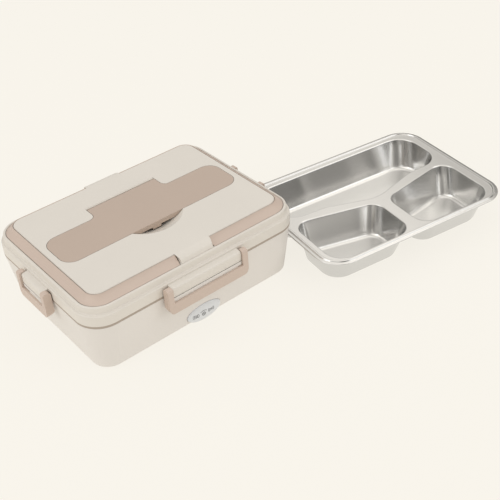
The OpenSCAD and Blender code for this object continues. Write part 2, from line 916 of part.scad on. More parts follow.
// Section of a handle: flat below, with a crowned top that falls to the lip outside
module handle_section() {
    fall = norm([handle_out - handle_in, handle_top - lip_z]);
    crown = 1.1;
    steps = 6;
    from = [handle_out, lip_z - 0.3];
    to = [handle_in + 0.5, handle_top];
    normal = [from.y - to.y, to.x - from.x] / -fall;
    polygon(concat(
        [[handle_in, handle_low], [handle_out, handle_low]],
        [for (i = [0:steps])
            let (t = i / steps)
            from + (to - from) * t + normal * crown * 4 * t * (1 - t) * -1],
        [[handle_in, handle_top - 0.5]]));
}

// C-shaped carry handle for one end of the lid; its arms turn on pins near the bridge
module handle() {
    color(tan_brown)
    difference() {
        union() {
            for (sy = [-1, 1])
                translate([core.x, sy * core.y, 0])
                    rotate([0, 0, sy > 0 ? 0 : -90])
                        rotate_extrude(angle = 90)
                            handle_section();
            translate([core.x, core.y, 0])
                rotate([90, 0, 0])
                    linear_extrude(2 * core.y)
                        handle_section();
            for (sy = [0, 1])
                mirror([0, sy, 0])
                    translate([handle_start, core.y, 0])
                        rotate([90, 0, 90])
                            linear_extrude(core.x - handle_start)
                                handle_section();
        }
        for (sy = [-1, 1]) {
            handle_pin_rod(1, sy, handle_pin_r + run_gap, 0, handle_pin_out + 0.3);
            handle_round(sy, handle_low - lap, pivot_z - 0.1, pivot_z - handle_low + 0.1);
            handle_round(sy, pivot_z + 0.1, box_h, swing_r - handle_gap);
        }
    }
}

// Rounds an arm's end about its pivot to radius r, between two heights
module handle_round(sy, low, high, r) {
    depth = handle_out - handle_in + 2 * lap;
    translate([0, sy * (core.y + (handle_in + handle_out) / 2), 0])
        difference() {
            translate([handle_start - lap, -depth / 2, low])
                cube([pivot_x - handle_start + lap, depth, high - low]);
            translate([pivot_x, 0, pivot_z])
                rotate([90, 0, 0])
                    cylinder(r = r, h = depth + lap, center = true);
        }
}

module right_handle() { handle(); }
module left_handle() { mirror([1, 0, 0]) handle(); }

// ---- Cutlery cover ----

module cutlery_cover() {
    skin = 2.2;
    rib = 1.8;
    front = cover_back - cover_w / 2;
    color(cover_brown)
    difference() {
        union() {
            difference() {
                translate([0, 0, cover_low])
                    linear_extrude(cover_t)
                        cover_plan();
                translate([0, 0, cover_low - lap])
                    linear_extrude(cover_t - skin + lap)
                        translate([0, cover_back])
                            rounded_rect([cover_l - 2 * rib, cover_w - 2 * rib],
                                         cover_r - rib);
                translate([-cover_l / 2, barrel_y, cover_low - lap])
                    cube([cover_l, 2 * barrel_r + lap, cover_t + 2 * lap]);
            }
            intersection() {
                barrel(barrel_r, cover_hinge_l + lap);
                translate([0, 0, cover_low - lap])
                    linear_extrude(cover_t + 2 * lap)
                        cover_plan();
            }
            snap_tab(front);
        }
        cover_pin_rods(cover_pin_r + run_gap, 0.4);
    }
}

// Sprung tab that clips the cover shut, seen in the finger scoop
module snap_tab(front) {
    translate([-6.5, front, 0])
        rotate([90, 0, 90])
            linear_extrude(10)
                polygon([[0, cover_low + 2], [1.8, cover_low + 2], [1.8, cover_low - 3],
                         [0.6, cover_low - 3], [0, cover_low - 2]]);
}

// ---- Food tray ----

tray_l = 2 * (core.x + cavity_r - tray_end_play);
tray_x = box_l / 2 - tray_tuck + tray_l / 2;
tray_core = [tray_l / 2 - tray_r, tray_w / 2 - tray_r];
deck_z = tray_h - 1.2;
rise = tray_draft - end_draft;
spread = tray_draft - rib_draft;

// Mouths of the compartments, each a ring of corner circles [x, y, radius, slide x, slide y]
// with x and y in parts of the tray's core. A corner that turns inwards has a negative
// radius. A corner's centre slides that far along X and Y on its way down to the floor.
back_mouth = [[0, 0.673, 49.5, 0, 0], [0.708, -0.37, -28.5, 0, 0],
              [0.909, 0.53, 24, rise, 0], [0.909, 0.875, 24, rise, 0],
              [-0.909, 0.875, 24, -rise, 0], [-0.909, 0.53, 24, -rise, 0],
              [-0.708, -0.37, -28.5, 0, 0]];
side_mouth = [[0.274, -1.044, 18, -spread, front_lean],
              [0.928, -0.985, 21.5, rise, front_lean],
              [0.988, -0.273, 16, rise, 0], [0.25, -0.522, 16, -spread, 0]];

// Ring of corner circles in millimetres; side is -1 for the mirrored ring
function ring_mm(ring, side = 1) =
    [for (c = side > 0 ? ring : [for (i = [len(ring) - 1:-1:0]) ring[i]])
        [side * c[0] * tray_core.x + deck_shift, c[1] * tray_core.y, c[2], side * c[3], c[4]]];

mouths = [ring_mm(back_mouth), ring_mm(side_mouth), ring_mm(side_mouth, -1)];

// Direction in which the tangent from circle a to circle b faces outwards
function tangent(a, b) =
    let (d = [b.x - a.x, b.y - a.y])
    atan2(d.y, d.x) - acos((a.z - b.z) / norm(d));

// A ring whose corners have gone the given part of their slide
function slid(ring, part) = [for (c = ring) [c[0] + part * c[3], c[1] + part * c[4], c[2]]];

// The same outline with every corner's radius larger by the given amount
function rounder(ring, more) =
    let (n = len(ring))
    [for (i = [0:n - 1])
        let (c = ring[i],
             a = tangent(ring[(i + n - 1) % n], c),
             b = tangent(c, ring[(i + 1) % n]),
             push = more / (1 + cos(a - b)))
        [c.x - push * (cos(a) + cos(b)), c.y - push * (sin(a) + sin(b)), c.z + more]];

// Outline round a ring of circles, moved inwards by the inset
function ring_outline(ring, inset, steps = 6) =
    let (n = len(ring))
    [for (i = [0:n - 1])
        let (c = ring[i],
             from = tangent(ring[(i + n - 1) % n], c),
             turn = tangent(c, ring[(i + 1) % n]) - from,
             sweep = turn - 360 * (c.z > 0 ? floor(turn / 360) : ceil(turn / 360)))
        for (s = [0:steps])
            let (a = from + sweep * s / steps)
            [c.x + (c.z - inset) * cos(a), c.y + (c.z - inset) * sin(a)]];

// Solid through the outlines of a ring at the given [inset, height, slide] levels, upwards.
// Its corners keep their radius on the way down, whatever the walls' lean.
module loft(ring, levels) {
    outlines = [for (level = levels)
        ring_outline(rounder(slid(ring, level[2]), tray_draft * level[2]), level[0])];
    n = len(outlines[0]);
    top = len(levels) - 1;
    hub = [for (p = outlines[top]) 1] * outlines[top] / n;
    points = concat(
        [for (i = [0:top], p = outlines[i]) [p.x, p.y, levels[i][1]]],
        [[hub.x, hub.y, levels[0][1]], [hub.x, hub.y, levels[top][1]]]);
    low_hub = (top + 1) * n;
    faces = [for (j = [0:n - 1])
        let (k = (j + 1) % n)
        each concat(
            [[low_hub, j, k], [low_hub + 1, top * n + k, top * n + j]],
            [for (i = [0:top - 1]) [i * n + j, (i + 1) * n + j, (i + 1) * n + k, i * n + k]])];
    polyhedron(points = points, faces = faces);
}

// Levels of a drawn compartment, grown by the steel's skin: floor, fillet, leaning
// wall and a flared mouth that ends above or below the deck's face
function bowl_levels(skin, over) =
    let (r = tray_floor_r, low = steel_t - skin, lip = 2.2, flare = 0.55)
    concat(
        [for (a = [0:22.5:90])
            [tray_draft - skin + r * (1 - sin(a)), low + r * (1 - cos(a)), 1]],
        [[flare * lip - skin, deck_z - lip, 0.15], [-flare * over - skin, deck_z + over, 0]]);

module food_tray() {
    rim_low = deck_z - steel_t;
    color(steel)
    translate([tray_x, tray_y, 0])
        rotate([0, 0, tray_turn])
            difference() {
                union() {
                    around(tray_core)
                        polygon([[0, rim_low], [tray_r - 6.3, rim_low],
                                 [tray_r - 5.2, rim_low + 1.2], [tray_r - 4, rim_low + 1.2],
                                 [tray_r - 2.9, rim_low - 0.4], [tray_r - 0.9, rim_low - 0.6],
                                 [tray_r - 0.9, rim_low - 1], [tray_r, rim_low - 1],
                                 [tray_r, rim_low + 0.1], [tray_r - 0.6, rim_low + 0.5],
                                 [tray_r - 2.4, rim_low + 0.6], [tray_r - 3.6, tray_h],
                                 [tray_r - 5.6, tray_h], [tray_r - 6.8, deck_z],
                                 [0, deck_z]]);
                    core_slab(rim_low, deck_z, tray_core);
                    for (mouth = mouths)
                        loft(mouth, bowl_levels(steel_t, -steel_t / 2));
                }
                for (mouth = mouths)
                    loft(mouth, bowl_levels(0, lap));
            }
}

base_shell();
bottom_cover();
feet();
cover_screws();
inner_liner();
heating_plate();
heater_strips();
thermostat();
thermal_fuse();
control_board();
indicator_leds();
indicator_panel();
inlet_socket();
inlet_pins();
heater_leads();
latch_catches();
lid_shell();
cutlery_well();
lid_liner();
lid_gasket();
latch_pins();
handle_pins();
cover_pins();
front_latch();
back_latch();
left_latch();
right_latch();
left_handle();
right_handle();
cutlery_cover();
food_tray();
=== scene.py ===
import json
import math

import bmesh
import bpy
import numpy as np
from mathutils import Matrix, Vector
from mathutils.geometry import delaunay_2d_cdt


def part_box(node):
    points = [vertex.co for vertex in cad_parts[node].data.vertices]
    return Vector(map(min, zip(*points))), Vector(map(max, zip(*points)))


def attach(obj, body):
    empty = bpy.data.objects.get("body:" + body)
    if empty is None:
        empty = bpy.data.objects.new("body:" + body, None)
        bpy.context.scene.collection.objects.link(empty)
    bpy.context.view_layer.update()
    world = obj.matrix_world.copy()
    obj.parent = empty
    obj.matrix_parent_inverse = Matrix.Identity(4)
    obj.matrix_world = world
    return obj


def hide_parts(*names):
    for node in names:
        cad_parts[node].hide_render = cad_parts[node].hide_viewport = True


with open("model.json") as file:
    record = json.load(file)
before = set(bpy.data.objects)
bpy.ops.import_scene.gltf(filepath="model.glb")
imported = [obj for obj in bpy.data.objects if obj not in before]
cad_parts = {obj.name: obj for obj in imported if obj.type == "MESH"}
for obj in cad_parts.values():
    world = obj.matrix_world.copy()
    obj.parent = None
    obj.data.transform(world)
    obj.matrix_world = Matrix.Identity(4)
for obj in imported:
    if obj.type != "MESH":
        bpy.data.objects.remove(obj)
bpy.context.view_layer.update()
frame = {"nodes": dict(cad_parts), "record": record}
nodes = frame["nodes"]
MM = 0.001

# Millimetres: the tray over its rim, its corners and sheet, and the height of its deck
TRAY_L, TRAY_W, TRAY_H, TRAY_R, STEEL = 236.8, 174.8, 37.5, 28.0, 0.8
TRAY_DECK = TRAY_H - 1.2


# ---------------------------------------------------------------- camera, floor, light

CAMERA_AZIMUTH = math.radians(-37.42)
CAMERA_ELEVATION = math.radians(37.24)
CAMERA_ROLL = math.radians(-4.02)
CAMERA_TARGET = (0.1033, -0.0338, 0.002)
CAMERA_DISTANCE = 0.9927
CAMERA_LENS_MM = 65.65
CAMERA_SENSOR_MM = 36.0
CAMERA_REACH_M = 20.0


def place_camera():
    """Camera on a sphere round the target, with its own small roll."""
    cos_e = math.cos(CAMERA_ELEVATION)
    back = Vector((math.sin(CAMERA_AZIMUTH) * cos_e, -math.cos(CAMERA_AZIMUTH) * cos_e,
                   math.sin(CAMERA_ELEVATION)))
    right = (-back).cross(Vector((0, 0, 1))).normalized()
    up = right.cross(-back)
    cos_r, sin_r = math.cos(CAMERA_ROLL), math.sin(CAMERA_ROLL)
    rolled_right = cos_r * right + sin_r * up
    rolled_up = -sin_r * right + cos_r * up
    place = Vector(CAMERA_TARGET) + CAMERA_DISTANCE * back
    turned = Matrix((rolled_right, rolled_up, back)).transposed().to_4x4()
    camera_data = bpy.data.cameras.new("camera")
    camera_data.lens = CAMERA_LENS_MM
    camera_data.sensor_width = CAMERA_SENSOR_MM
    camera_data.clip_end = CAMERA_REACH_M
    camera = bpy.data.objects.new("camera", camera_data)
    camera.matrix_world = Matrix.Translation(place) @ turned
    bpy.context.scene.collection.objects.link(camera)
    bpy.context.scene.camera = camera


FLOOR_HALF_M = 6.0
PAPER = (0.939, 0.904, 0.831)
PAPER_DIFFUSE = (0.12, 0.116, 0.107)
PAPER_GLOW = 0.88
PANEL_SIDE_M = 1.4
# Brightness of the studio's air from the horizon to overhead, and its tint: as it lights
# things, and as polished things mirror it, there with bright and dark panels across it
AIR = [(0.02, 0.42), (0.6, 0.92)]
AIR_TINT = (1, 0.995, 0.98)
MIRRORED_AIR = [(0.0, 0.24), (0.35, 0.4), (0.7, 1.1), (1.0, 1.7)]
MIRRORED_TINT = (1, 0.955, 0.885)
PANELS = [(0.0, 0.95), (0.2, 1.5), (0.33, 0.4), (0.46, 0.7), (0.6, 0.8), (0.75, 1.0),
          (0.795, 1.6), (0.87, 0.35), (1.0, 1.3)]


def area_light(name, place, aim, watts):
    """Square area light turned towards a point."""
    light = bpy.data.lights.new(name, "AREA")
    light.size = PANEL_SIDE_M
    light.energy = watts
    lamp = bpy.data.objects.new(name, light)
    direction = Vector(aim) - Vector(place)
    lamp.matrix_world = (Matrix.Translation(Vector(place))
                         @ direction.to_track_quat("-Z", "Y").to_matrix().to_4x4())
    bpy.context.scene.collection.objects.link(lamp)


def colour_ramp(tree, value, stops, tint=(1, 1, 1)):
    """Tinted greys at (place, grey) stops, picked by a value."""
    ramp = tree.nodes.new("ShaderNodeValToRGB")
    elements = ramp.color_ramp.elements
    for element, (place, _) in zip(elements, (stops[0], stops[-1])):
        element.position = place
    for place, _ in stops[1:-1]:
        elements.new(place)
    for element, (_, grey) in zip(elements, stops):
        element.color = (*(grey * t for t in tint), 1)
    tree.links.new(value, ramp.inputs[0])
    return ramp.outputs[0]


def paper_floor():
    """Pale paper floor that glows a little."""
    mesh = bpy.data.meshes.new("floor")
    half = FLOOR_HALF_M
    mesh.from_pydata([(-half, -half, 0), (half, -half, 0), (half, half, 0), (-half, half, 0)],
                     [], [(0, 1, 2, 3)])
    floor = bpy.data.objects.new("floor", mesh)
    paper = bpy.data.materials.new("floor_paper")
    paper.use_nodes = True
    shader = paper.node_tree.nodes["Principled BSDF"]
    shader.inputs["Base Color"].default_value = (*PAPER_DIFFUSE, 1)
    shader.inputs["Roughness"].default_value = 1.0
    shader.inputs["Specular IOR Level"].default_value = 0.0
    shader.inputs["Emission Color"].default_value = (*PAPER, 1)
    shader.inputs["Emission Strength"].default_value = PAPER_GLOW
    mesh.materials.append(paper)
    bpy.context.scene.collection.objects.link(floor)


def studio_air():
    """Soft dome that lights things, is mirrored with panels across it, and looks like the
    floor's paper behind everything."""
    world = bpy.data.worlds.new("studio_air")
    world.use_nodes = True
    tree = world.node_tree

    def blend(factor, first):
        mix = tree.nodes.new("ShaderNodeMix")
        mix.data_type = "RGBA"
        tree.links.new(factor, mix.inputs["Factor"])
        tree.links.new(first, mix.inputs["A"])
        return mix.inputs["B"], mix.outputs["Result"]

    coords = tree.nodes.new("ShaderNodeTexCoord")
    direction = tree.nodes.new("ShaderNodeSeparateXYZ")
    tree.links.new(coords.outputs["Generated"], direction.inputs[0])
    across = tree.nodes.new("ShaderNodeMapRange")
    across.inputs["From Min"].default_value = -1.0
    tree.links.new(direction.outputs["X"], across.inputs["Value"])
    mirrored = tree.nodes.new("ShaderNodeVectorMath")
    mirrored.operation = "MULTIPLY"
    tree.links.new(colour_ramp(tree, direction.outputs["Z"], MIRRORED_AIR, MIRRORED_TINT),
                   mirrored.inputs[0])
    tree.links.new(colour_ramp(tree, across.outputs["Result"], PANELS), mirrored.inputs[1])

    path = tree.nodes.new("ShaderNodeLightPath")
    air = colour_ramp(tree, direction.outputs["Z"], AIR, AIR_TINT)
    when_mirrored, air = blend(path.outputs["Is Glossy Ray"], air)
    tree.links.new(mirrored.outputs["Vector"], when_mirrored)
    when_seen, air = blend(path.outputs["Is Camera Ray"], air)
    when_seen.default_value = (*PAPER, 1)
    tree.links.new(air, tree.nodes["Background"].inputs["Color"])
    bpy.context.scene.world = world


def studio():
    """Floor, air, and one soft light each from the left and from the front."""
    paper_floor()
    studio_air()
    area_light("left_panel", (-1.9, 0.2, 1.0), (0.0, 0, 0.03), 8)
    area_light("front_panel", (0.9, -1.7, 1.1), (0.1, 0, 0.03), 6)


# ---------------------------------------------------------------- mesh helpers

WELD_MM = 0.004


def grid_quads(rows, columns, wrap):
    """Quads of a grid whose points are stored row by row; wrap joins the last column to the
    first."""
    last = columns if wrap else columns - 1
    i, j = np.meshgrid(np.arange(rows - 1), np.arange(last), indexing="ij")
    nxt = (j + 1) % columns
    quads = np.stack([i * columns + j, i * columns + nxt, (i + 1) * columns + nxt,
                      (i + 1) * columns + j], -1)
    return quads.reshape(-1, 4)


def outline_arc(centre, radius, start, end, steps):
    """Points c + r (cos a, sin a) for angles evenly from start to end, in degrees."""
    a = np.radians(np.linspace(start, end, steps + 1))
    return np.stack([centre[0] + radius * np.cos(a), centre[1] + radius * np.sin(a)], -1)


def rounded_path(corners, radii, steps):
    """Open polyline whose inner corners are replaced by arcs tangent to both legs: the arc's
    centre lies on the bisector at r / sin(half angle) from the corner."""
    corners = [np.array(c, float) for c in corners]
    path = [corners[0][None]]
    for before, here, after, r in zip(corners, corners[1:], corners[2:], radii):
        u = (before - here) / np.linalg.norm(before - here)
        v = (after - here) / np.linalg.norm(after - here)
        half = 0.5 * math.acos(float(np.clip(u @ v, -1, 1)))
        bisector = (u + v) / np.linalg.norm(u + v)
        centre = here + bisector * r / math.sin(half)
        start = here + u * r / math.tan(half) - centre
        end = here + v * r / math.tan(half) - centre
        a0 = math.atan2(start[1], start[0])
        turn = math.atan2(start[0] * end[1] - start[1] * end[0], float(start @ end))
        a = a0 + turn * np.linspace(0, 1, steps + 1)
        path.append(centre + r * np.stack([np.cos(a), np.sin(a)], -1))
    path.append(corners[-1][None])
    return np.concatenate(path)


def add_piece(name, points, faces, body, material, replaced=(), smooth=35.0):
    """Mesh object from arrays of points in millimetres and faces, riding on a body, with edges
    smooth below an angle in degrees."""
    mesh = bpy.data.meshes.new(name)
    faces = np.asarray(faces)
    size = faces.shape[1]
    mesh.vertices.add(len(points))
    mesh.vertices.foreach_set("co", (np.asarray(points, float) * MM).astype(np.float32).ravel())
    mesh.loops.add(faces.size)
    mesh.loops.foreach_set("vertex_index", faces.astype(np.int32).ravel())
    mesh.polygons.add(len(faces))
    mesh.polygons.foreach_set("loop_start", np.arange(0, faces.size, size, dtype=np.int32))
    mesh.update(calc_edges=True)
    mesh.validate()
    piece = bpy.data.objects.new(name, mesh)
    bpy.context.scene.collection.objects.link(piece)
    finish_mesh(mesh, smooth)
    mesh.materials.append(material)
    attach(piece, body)
    if replaced:
        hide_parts(*replaced)


def finish_mesh(mesh, smooth_degrees):
    """Welds doubled points, turns faces outwards and shades smoothly below the given angle."""
    work = bmesh.new()
    work.from_mesh(mesh)
    bmesh.ops.remove_doubles(work, verts=work.verts, dist=WELD_MM * MM)
    bmesh.ops.dissolve_degenerate(work, edges=work.edges, dist=WELD_MM * MM)
    bmesh.ops.recalc_face_normals(work, faces=work.faces)
    limit = math.radians(smooth_degrees)
    for edge in work.edges:
        edge.smooth = len(edge.link_faces) == 2 and edge.calc_face_angle(0) < limit
    for face in work.faces:
        face.smooth = True
    work.to_mesh(mesh)
    work.free()


# ---------------------------------------------------------------- materials

# Metres: how far the painted shade in crevices reaches, and the radius of moulded edges
CREVICE_REACH, EDGE_RADIUS = 0.0016, 0.00035
# Share of its colour that a closed crevice keeps under the painted shade, and how open a place is
# that keeps it all
CREVICE_COLOUR, CREVICE_OPEN = 0.35, 0.55
# Values that nearly all of a noise lies between
NOISE_LOW, NOISE_HIGH = 0.3, 0.7


class Finish:
    """Node tree of one material, with short calls for the nodes that the finishes share."""

    def __init__(self, name, colour, roughness, metallic=0.0):
        self.material = bpy.data.materials.new(name)
        self.material.use_nodes = True
        self.tree = self.material.node_tree
        self.shader = self.tree.nodes["Principled BSDF"]
        self.shader.inputs["Base Color"].default_value = (*colour, 1)
        self.shader.inputs["Roughness"].default_value = roughness
        self.shader.inputs["Metallic"].default_value = metallic
        self.coords = self.tree.nodes.new("ShaderNodeTexCoord")

    def mapped(self, scale):
        """Object coordinates stretched by the given factors."""
        mapping = self.tree.nodes.new("ShaderNodeMapping")
        mapping.inputs["Scale"].default_value = scale
        self.tree.links.new(self.coords.outputs["Object"], mapping.inputs["Vector"])
        return mapping.outputs["Vector"]

    def noise(self, scale, detail=2.0, stretch=(1, 1, 1)):
        """Noise in object coordinates."""
        noise = self.tree.nodes.new("ShaderNodeTexNoise")
        noise.inputs["Scale"].default_value = scale
        noise.inputs["Detail"].default_value = detail
        self.tree.links.new(self.mapped(stretch), noise.inputs["Vector"])
        return noise.outputs["Fac"]

    def spread(self, value, low, high):
        """Maps the usual range of a noise to low..high."""
        ranged = self.tree.nodes.new("ShaderNodeMapRange")
        ranged.inputs["From Min"].default_value = NOISE_LOW
        ranged.inputs["From Max"].default_value = NOISE_HIGH
        ranged.inputs["To Min"].default_value = low
        ranged.inputs["To Max"].default_value = high
        self.tree.links.new(value, ranged.inputs["Value"])
        return ranged.outputs["Result"]

    def tint(self, value, dark, light):
        """Blends two colours by a noise."""
        mix = self.tree.nodes.new("ShaderNodeMix")
        mix.data_type = "RGBA"
        mix.inputs["A"].default_value = (*dark, 1)
        mix.inputs["B"].default_value = (*light, 1)
        self.tree.links.new(self.spread(value, 0.0, 1.0), mix.inputs["Factor"])
        self.tree.links.new(mix.outputs["Result"], self.shader.inputs["Base Color"])

    def roughen(self, value, low, high):
        """Roughness from low to high by a noise."""
        self.tree.links.new(self.spread(value, low, high), self.shader.inputs["Roughness"])

    def shade_crevices(self):
        """Painted shade: darkens the colour in narrow gaps and inner corners, where shade falls,
        by how closed in a place is.
        """
        around = self.tree.nodes.new("ShaderNodeAmbientOcclusion")
        around.samples = 8
        around.inputs["Distance"].default_value = CREVICE_REACH
        fade = self.tree.nodes.new("ShaderNodeMapRange")
        fade.inputs["From Max"].default_value = CREVICE_OPEN
        fade.inputs["To Min"].default_value = CREVICE_COLOUR
        self.tree.links.new(around.outputs["AO"], fade.inputs["Value"])
        scale = self.tree.nodes.new("ShaderNodeVectorMath")
        scale.operation = "SCALE"
        socket = self.shader.inputs["Base Color"]
        self.tree.links.new(socket.links[0].from_socket, scale.inputs[0])
        self.tree.links.new(fade.outputs["Result"], scale.inputs["Scale"])
        self.tree.links.new(scale.outputs["Vector"], socket)

    def soft_edges(self):
        """Normal that turns smoothly round edges, as on a moulding with small edge radii."""
        bevel = self.tree.nodes.new("ShaderNodeBevel")
        bevel.samples = 6
        bevel.inputs["Radius"].default_value = EDGE_RADIUS
        return bevel.outputs["Normal"]

    def bump(self, height, distance, normal=None):
        """Bump from a noise, on top of a normal if one is given."""
        node = self.tree.nodes.new("ShaderNodeBump")
        node.inputs["Strength"].default_value = 1.0
        node.inputs["Distance"].default_value = distance
        self.tree.links.new(height, node.inputs["Height"])
        if normal is not None:
            self.tree.links.new(normal, node.inputs["Normal"])
        self.tree.links.new(node.outputs["Normal"], self.shader.inputs["Normal"])


def linear(r, g, b):
    """Linear colour from 8-bit display values."""
    c = np.array([r, g, b], float) / 255
    return tuple(float(v) for v in np.where(c <= 0.04045, c / 12.92, ((c + 0.055) / 1.055) ** 2.4))


def moulded_plastic(name, colour, roughness=0.5, grain=0.00002):
    """Injection-moulded plastic: fine spark-eroded grain, faint uneven colour, and painted shade
    in its gaps and inner corners.
    """
    finish = Finish(name, colour, roughness)
    cloud = finish.noise(18.0, 3.0)
    grains = finish.noise(2600.0, 1.0)
    base = np.array(colour)
    uneven = 0.012
    finish.tint(cloud, tuple(base * (1 - uneven)), tuple(base * (1 + uneven)))
    # painted shade: the colour is darkened in gaps and inner corners
    finish.shade_crevices()
    finish.roughen(grains, roughness - 0.06, roughness + 0.06)
    finish.bump(grains, grain, finish.soft_edges())
    finish.shader.inputs["IOR"].default_value = 1.5
    return finish.material


def satin_steel(name):
    """Pressed stainless steel: satin floors and flat deck, and drawn walls polished by the die,
    told apart by height; faint drawing marks run up the walls."""
    finish = Finish(name, (0.69, 0.69, 0.685), 0.25, 1.0)
    grain = finish.noise(900.0, 3.0, (1.0, 1.0, 0.12))
    place = finish.tree.nodes.new("ShaderNodeSeparateXYZ")
    finish.tree.links.new(finish.coords.outputs["Object"], place.inputs[0])
    share = finish.tree.nodes.new("ShaderNodeMapRange")
    share.inputs["From Max"].default_value = TRAY_DECK * MM
    finish.tree.links.new(place.outputs["Z"], share.inputs["Value"])
    roughness = colour_ramp(finish.tree, share.outputs["Result"],
                            [(0.0, 0.27), (0.05, 0.27), (0.2, 0.19), (0.9, 0.17), (1.0, 0.24)])
    finish.tree.links.new(roughness, finish.shader.inputs["Roughness"])
    finish.bump(grain, 0.000003)
    return finish.material


def rubbery(name, colour):
    """Matt rubber or silicone with a fine grain."""
    finish = Finish(name, colour, 0.75)
    grains = finish.noise(1800.0)
    finish.roughen(grains, 0.68, 0.82)
    finish.bump(grains, 0.00003)
    return finish.material


def drawn_metal(name, colour, roughness):
    """Drawn or rolled metal with fine lines along X."""
    finish = Finish(name, colour, roughness, 1.0)
    lines = finish.noise(1400.0, 2.0, (0.1, 1.0, 1.0))
    finish.roughen(lines, roughness - 0.06, roughness + 0.08)
    finish.bump(lines, 0.000004)
    return finish.material


CREAM = linear(223, 216, 206)
CREAM_BASE = linear(227, 221, 214)
TAN = linear(205, 186, 172)
BROWN = linear(191, 172, 157)

finishes = {
    "cream_lid": moulded_plastic("cream_lid_plastic", CREAM),
    "cream_shell": moulded_plastic("cream_base_plastic", CREAM_BASE),
    "tan_plastic": moulded_plastic("tan_plastic", TAN, 0.46),
    "brown_plastic": moulded_plastic("brown_cover_plastic", BROWN, 0.5),
    "white_liner": moulded_plastic("white_liner_plastic", linear(236, 233, 227), 0.42),
    "panel_grey": moulded_plastic("panel_face_plastic", linear(222, 223, 224), 0.32, 0.000006),
    "lamp_plastic": moulded_plastic("frosted_lamp_plastic", linear(228, 229, 226), 0.35,
                                    0.000004),
    "inlet_plastic": moulded_plastic("inlet_dark_plastic", linear(70, 68, 66), 0.5),
    "board_green": moulded_plastic("board_lacquer", linear(44, 100, 66), 0.35),
    "feet_rubber": rubbery("foot_rubber", linear(176, 171, 164)),
    # taupe of the gasket, also painted shade where its lip fills the joint line
    "gasket_rubber": rubbery("gasket_silicone_and_seam_shade", linear(176, 162, 148)),
    "heater_silicone": rubbery("heater_silicone", linear(188, 92, 56)),
    "lead_rubber": rubbery("lead_insulation", linear(140, 60, 52)),
    "plate_aluminium": drawn_metal("plate_aluminium", (0.76, 0.76, 0.77), 0.34),
    "thermostat_steel": drawn_metal("thermostat_steel", (0.62, 0.62, 0.61), 0.3),
    "screw_steel": drawn_metal("screw_plated_steel", (0.78, 0.78, 0.78), 0.22),
    "pin_steel": drawn_metal("pin_steel", (0.66, 0.66, 0.65), 0.26),
    "tray_steel": satin_steel("tray_satin_steel"),
    "fuse_brass": drawn_metal("fuse_brass", (0.76, 0.58, 0.28), 0.3),
    "pin_brass": drawn_metal("contact_brass", (0.80, 0.62, 0.32), 0.22),
}

slot_of = {s["node"]: s["material_slot"] for s in frame["record"]["subparts"]}
for node_name, node_object in nodes.items():
    node_object.data.materials.clear()
    node_object.data.materials.append(finishes[slot_of[node_name]])


# ---------------------------------------------------------------- food tray

TRAY_PLACE = (241.6, -83.2)
TRAY_TURN = math.radians(-8.15)
TRAY_CORE = (TRAY_L / 2 - TRAY_R, TRAY_W / 2 - TRAY_R)
# How much rounder the corners are at the floors than at the mouths, and how far the floors'
# corners stand in from the mouths' at the ends, beside the rib and at the front
TRAY_DRAFT = 8.0
END_SLIDE, RIB_SLIDE, FRONT_SLIDE = 4.7, 2.8, 2.6
# Height where the floor's bend ends, and how far below the deck the lip's bend starts
FLOOR_BEND, LIP_BEND = 6.8, 2.2
# How far the mouths lie from the tray's middle along X
MOUTH_SHIFT = -1.7
# Points to an arc and to a side of a mouth, and to each corner arc of the rim and the gasket
MOUTH_ARC, MOUTH_SIDE, SWEEP_ARC = 10, 6, 14
# Corner circles of the mouths: x and y as shares of the core, radius, slide in x and y
BACK_MOUTH = [(0, 0.673, 49.5, 0, 0), (0.708, -0.37, -28.5, 0, 0),
              (0.909, 0.53, 24, END_SLIDE, 0), (0.909, 0.875, 24, END_SLIDE, 0),
              (-0.909, 0.875, 24, -END_SLIDE, 0), (-0.909, 0.53, 24, -END_SLIDE, 0),
              (-0.708, -0.37, -28.5, 0, 0)]
SIDE_MOUTH = [(0.274, -1.044, 18, -RIB_SLIDE, FRONT_SLIDE),
              (0.928, -0.985, 21.5, END_SLIDE, FRONT_SLIDE),
              (0.988, -0.273, 16, END_SLIDE, 0), (0.25, -0.522, 16, -RIB_SLIDE, 0)]


def mouth_ring(ring, side=1):
    """Corner circles in millimetres from shares of the tray's core; side -1 mirrors them."""
    return [(side * x * TRAY_CORE[0] + MOUTH_SHIFT, y * TRAY_CORE[1], r, side * dx, dy)
            for x, y, r, dx, dy in (ring if side > 0 else ring[::-1])]


def facing(a, b):
    """Direction in degrees in which the tangent from circle a to circle b faces outwards."""
    dx, dy = b[0] - a[0], b[1] - a[1]
    return math.degrees(math.atan2(dy, dx) - math.acos((a[2] - b[2]) / math.hypot(dx, dy)))


def rounder(ring, more):
    """The same outline with every radius larger by more: each centre goes back by
    more (n1 + n2) / (1 + n1 . n2), with n1 and n2 the outward normals of its two sides."""
    grown = []
    for before, here, after in zip([ring[-1]] + ring[:-1], ring, ring[1:] + [ring[0]]):
        a, b = math.radians(facing(before, here)), math.radians(facing(here, after))
        push = more / (1 + math.cos(a - b))
        grown.append((here[0] - push * (math.cos(a) + math.cos(b)),
                      here[1] - push * (math.sin(a) + math.sin(b)), here[2] + more))
    return grown


